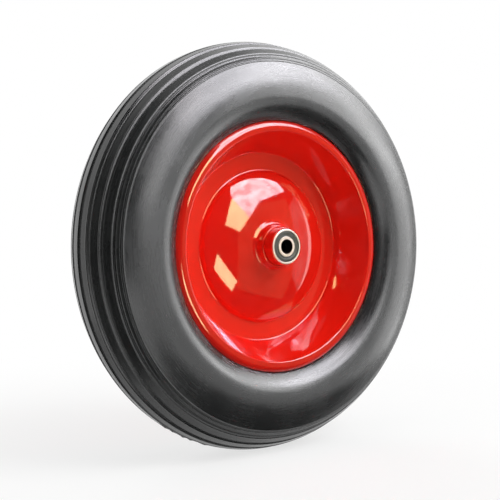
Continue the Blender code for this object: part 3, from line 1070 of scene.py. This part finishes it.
SOFT_LIGHTS = (  # name, azimuth, elevation, distance, size, watts
    ("key", 30.0, 42.0, 2.0, 1.2, 29.0),
    ("top", -20.0, 80.0, 2.0, 1.5, 7.0),
    ("back", 170.0, 30.0, 2.4, 1.5, 24.0),
)
CARDS = (  # name, four (azimuth, elevation) corners, distance, colour, once, twice, patchiness
    ("softbox_left", ((21, 15), (5.3, 34), (-6, 62), (12, 62)), 3.0, "fffaff", 15.0, 15.0, 0.40),
    ("softbox_middle", ((30.8, 23.5), (21, 15), (12, 62), (28, 62)), 3.0, "faf8ff", 15.0, 15.0, 0.40),
    ("softbox_right", ((56.6, 27.2), (30.8, 23.5), (28, 62), (62, 62)), 3.0, "faf8ff", 14.0, 14.0, 0.35),
    ("paper_sweep", ((112, -28), (250, -28), (250, 66), (112, 66)), 3.2, "ffffff", 1.7, 1.7, 0.10),
    ("dark_room", ((-110, -60), (66, -60), (66, 68), (-110, 68)), 3.4, "ffffff", 0.06, 0.06, 0.50),
)
# The enamel mirrors warm windows that the foam shows only as a neutral glow, so each has its own.
# The inner ones have no strength at one reflection: only the bowl's wall shows them, by way of
# the dome.
SHINY_CARDS = (
    ("upper_window", ((0.5, 13.1), (13.2, 7.7), (21, 15), (5.3, 34)), 2.9, "fff4b8", 16, 16, 0.10),
    ("lower_window", ((-17.6, -18.1), (5.8, -31), (12.1, -21.1), (-8.6, -5.4)), 2.9, "fff4b8", 16, 16, 0.10),
    ("grey_board", ((12, -27), (53, -27), (53, 22), (12, 22)), 3.1, "ffd9a0", 0.55, 0.55, 0.15),
    ("side_glow", ((53, -14), (76, -28), (76, 28), (53, 18)), 3.1, "fff0e4", 0.9, 0.9, 0.30),
    ("side_window", ((66, -20), (112, -24), (112, 30), (66, 20)), 3.1, "fff4ee", 2.2, 2.2, 0.20),
    ("inner_window_low", ((45, 0), (51, 0), (50, 30), (44, 30)), 2.8, "f0e8ff", 0.0, 420.0, 0.10),
    ("inner_window_high", ((44, 30), (50, 30), (49, 42), (43, 42)), 2.8, "f0e8ff", 0.0, 420.0, 0.10),
    ("inner_lamp", ((-84, 29), (-56, 29), (-56, 41), (-84, 41)), 2.8, "ffe9a0", 0.0, 32.0, 0.0),
)
TYRE_CARDS = (
    ("tyre_upper_window", ((-2, 8), (16, 5), (21, 15), (5.3, 34)), 2.6, "ffffff", 5.0, 5.0, 0.10),
    ("tyre_lower_window", ((-30, -38), (0, -38), (0, -8), (-30, -8)), 2.6, "ffffff", 2.6, 2.6, 0.10),
    ("tyre_left_board", ((-40, -20), (-24, -20), (-24, 24), (-40, 24)), 2.6, "ffffff", 1.0, 1.0, 0.20),
    ("tyre_front_board", ((0, -20), (50, -20), (50, 12), (0, 12)), 2.6, "ffffff", 1.9, 1.9, 0.30),
    ("tyre_side_board", ((50, -20), (76, -20), (76, 26), (50, 26)), 2.6, "ffffff", 4.0, 4.0, 0.30),
    ("tyre_top_board", ((34, 8), (66, 8), (66, 44), (30, 44)), 2.6, "ffffff", 5.0, 5.0, 0.30),
    ("tyre_far_board", ((62, 26), (100, 26), (100, 62), (62, 62)), 2.6, "ffffff", 5.0, 5.0, 0.30),
)


class WHEEL_OT_studio(bpy.types.Operator):
    """Set the floor, the lights and the camera"""

    bl_idname = "wheel.studio"
    bl_label = "Studio"

    def execute(self, context):
        studio = context.scene.wheel_studio
        context.scene.view_settings.view_transform = "Standard"
        add_camera()
        add_floor(studio.floor, -context.scene.wheel_tyre.radius)
        set_world(studio.fill_light)
        tyre = [ob for ob in context.scene.objects if ob.name.startswith("ribbed_foam_tyre")]
        rest = [
            ob for ob in context.scene.objects if ob.type == "MESH" and not ob.hide_render and ob not in tyre
        ]
        for cards, pieces in ((CARDS, None), (SHINY_CARDS, rest), (TYRE_CARDS, tyre)):
            for name, corners, distance, glow, *levels in cards:
                card = add_card(name, corners, distance, linear(glow), *levels, clear=pieces is not None)
                if pieces is not None:
                    link_card(card, "lit_tyre" if pieces is tyre else "lit_enamel_and_steel", pieces)
        for *placing, watts in SOFT_LIGHTS:
            add_soft_light(*placing, watts * studio.key_light)
        return {"FINISHED"}


class WHEEL_PT_panel(bpy.types.Panel):
    """Lists the wheel's pieces and their sizes"""

    bl_label = "Puncture-proof wheel"
    bl_idname = "WHEEL_PT_panel"
    bl_space_type = "VIEW_3D"
    bl_region_type = "UI"
    bl_category = "Wheel"

    def draw(self, context):
        for settings in ("wheel_tyre", "wheel_rim", "wheel_hub", "wheel_studio"):
            group = getattr(context.scene, settings)
            box = self.layout.box()
            box.label(text=group.bl_rna.description)
            for name in group.__annotations__:
                box.prop(group, name)
        for operator in OPERATORS:
            self.layout.operator(operator.bl_idname)


GROUPS = {
    "wheel_tyre": TyreSizes,
    "wheel_rim": RimSizes,
    "wheel_hub": HubSizes,
    "wheel_studio": StudioSettings,
}
OPERATORS = (WHEEL_OT_tyre, WHEEL_OT_rim, WHEEL_OT_hub_tube, WHEEL_OT_bearings, WHEEL_OT_studio)


def register():
    for name, group in GROUPS.items():
        bpy.utils.register_class(group)
        setattr(bpy.types.Scene, name, bpy.props.PointerProperty(type=group))
    for cls in (*OPERATORS, WHEEL_PT_panel):
        bpy.utils.register_class(cls)


def unregister():
    for cls in (WHEEL_PT_panel, *reversed(OPERATORS)):
        bpy.utils.unregister_class(cls)
    for name, group in reversed(GROUPS.items()):
        delattr(bpy.types.Scene, name)
        bpy.utils.unregister_class(group)


def main():
    """Builds every piece and the studio."""
    register()
    bpy.ops.wheel.tyre()
    bpy.ops.wheel.rim()
    bpy.ops.wheel.hub_tube()
    bpy.ops.wheel.bearings()
    bpy.ops.wheel.studio()


if __name__ == "__main__":
    main()
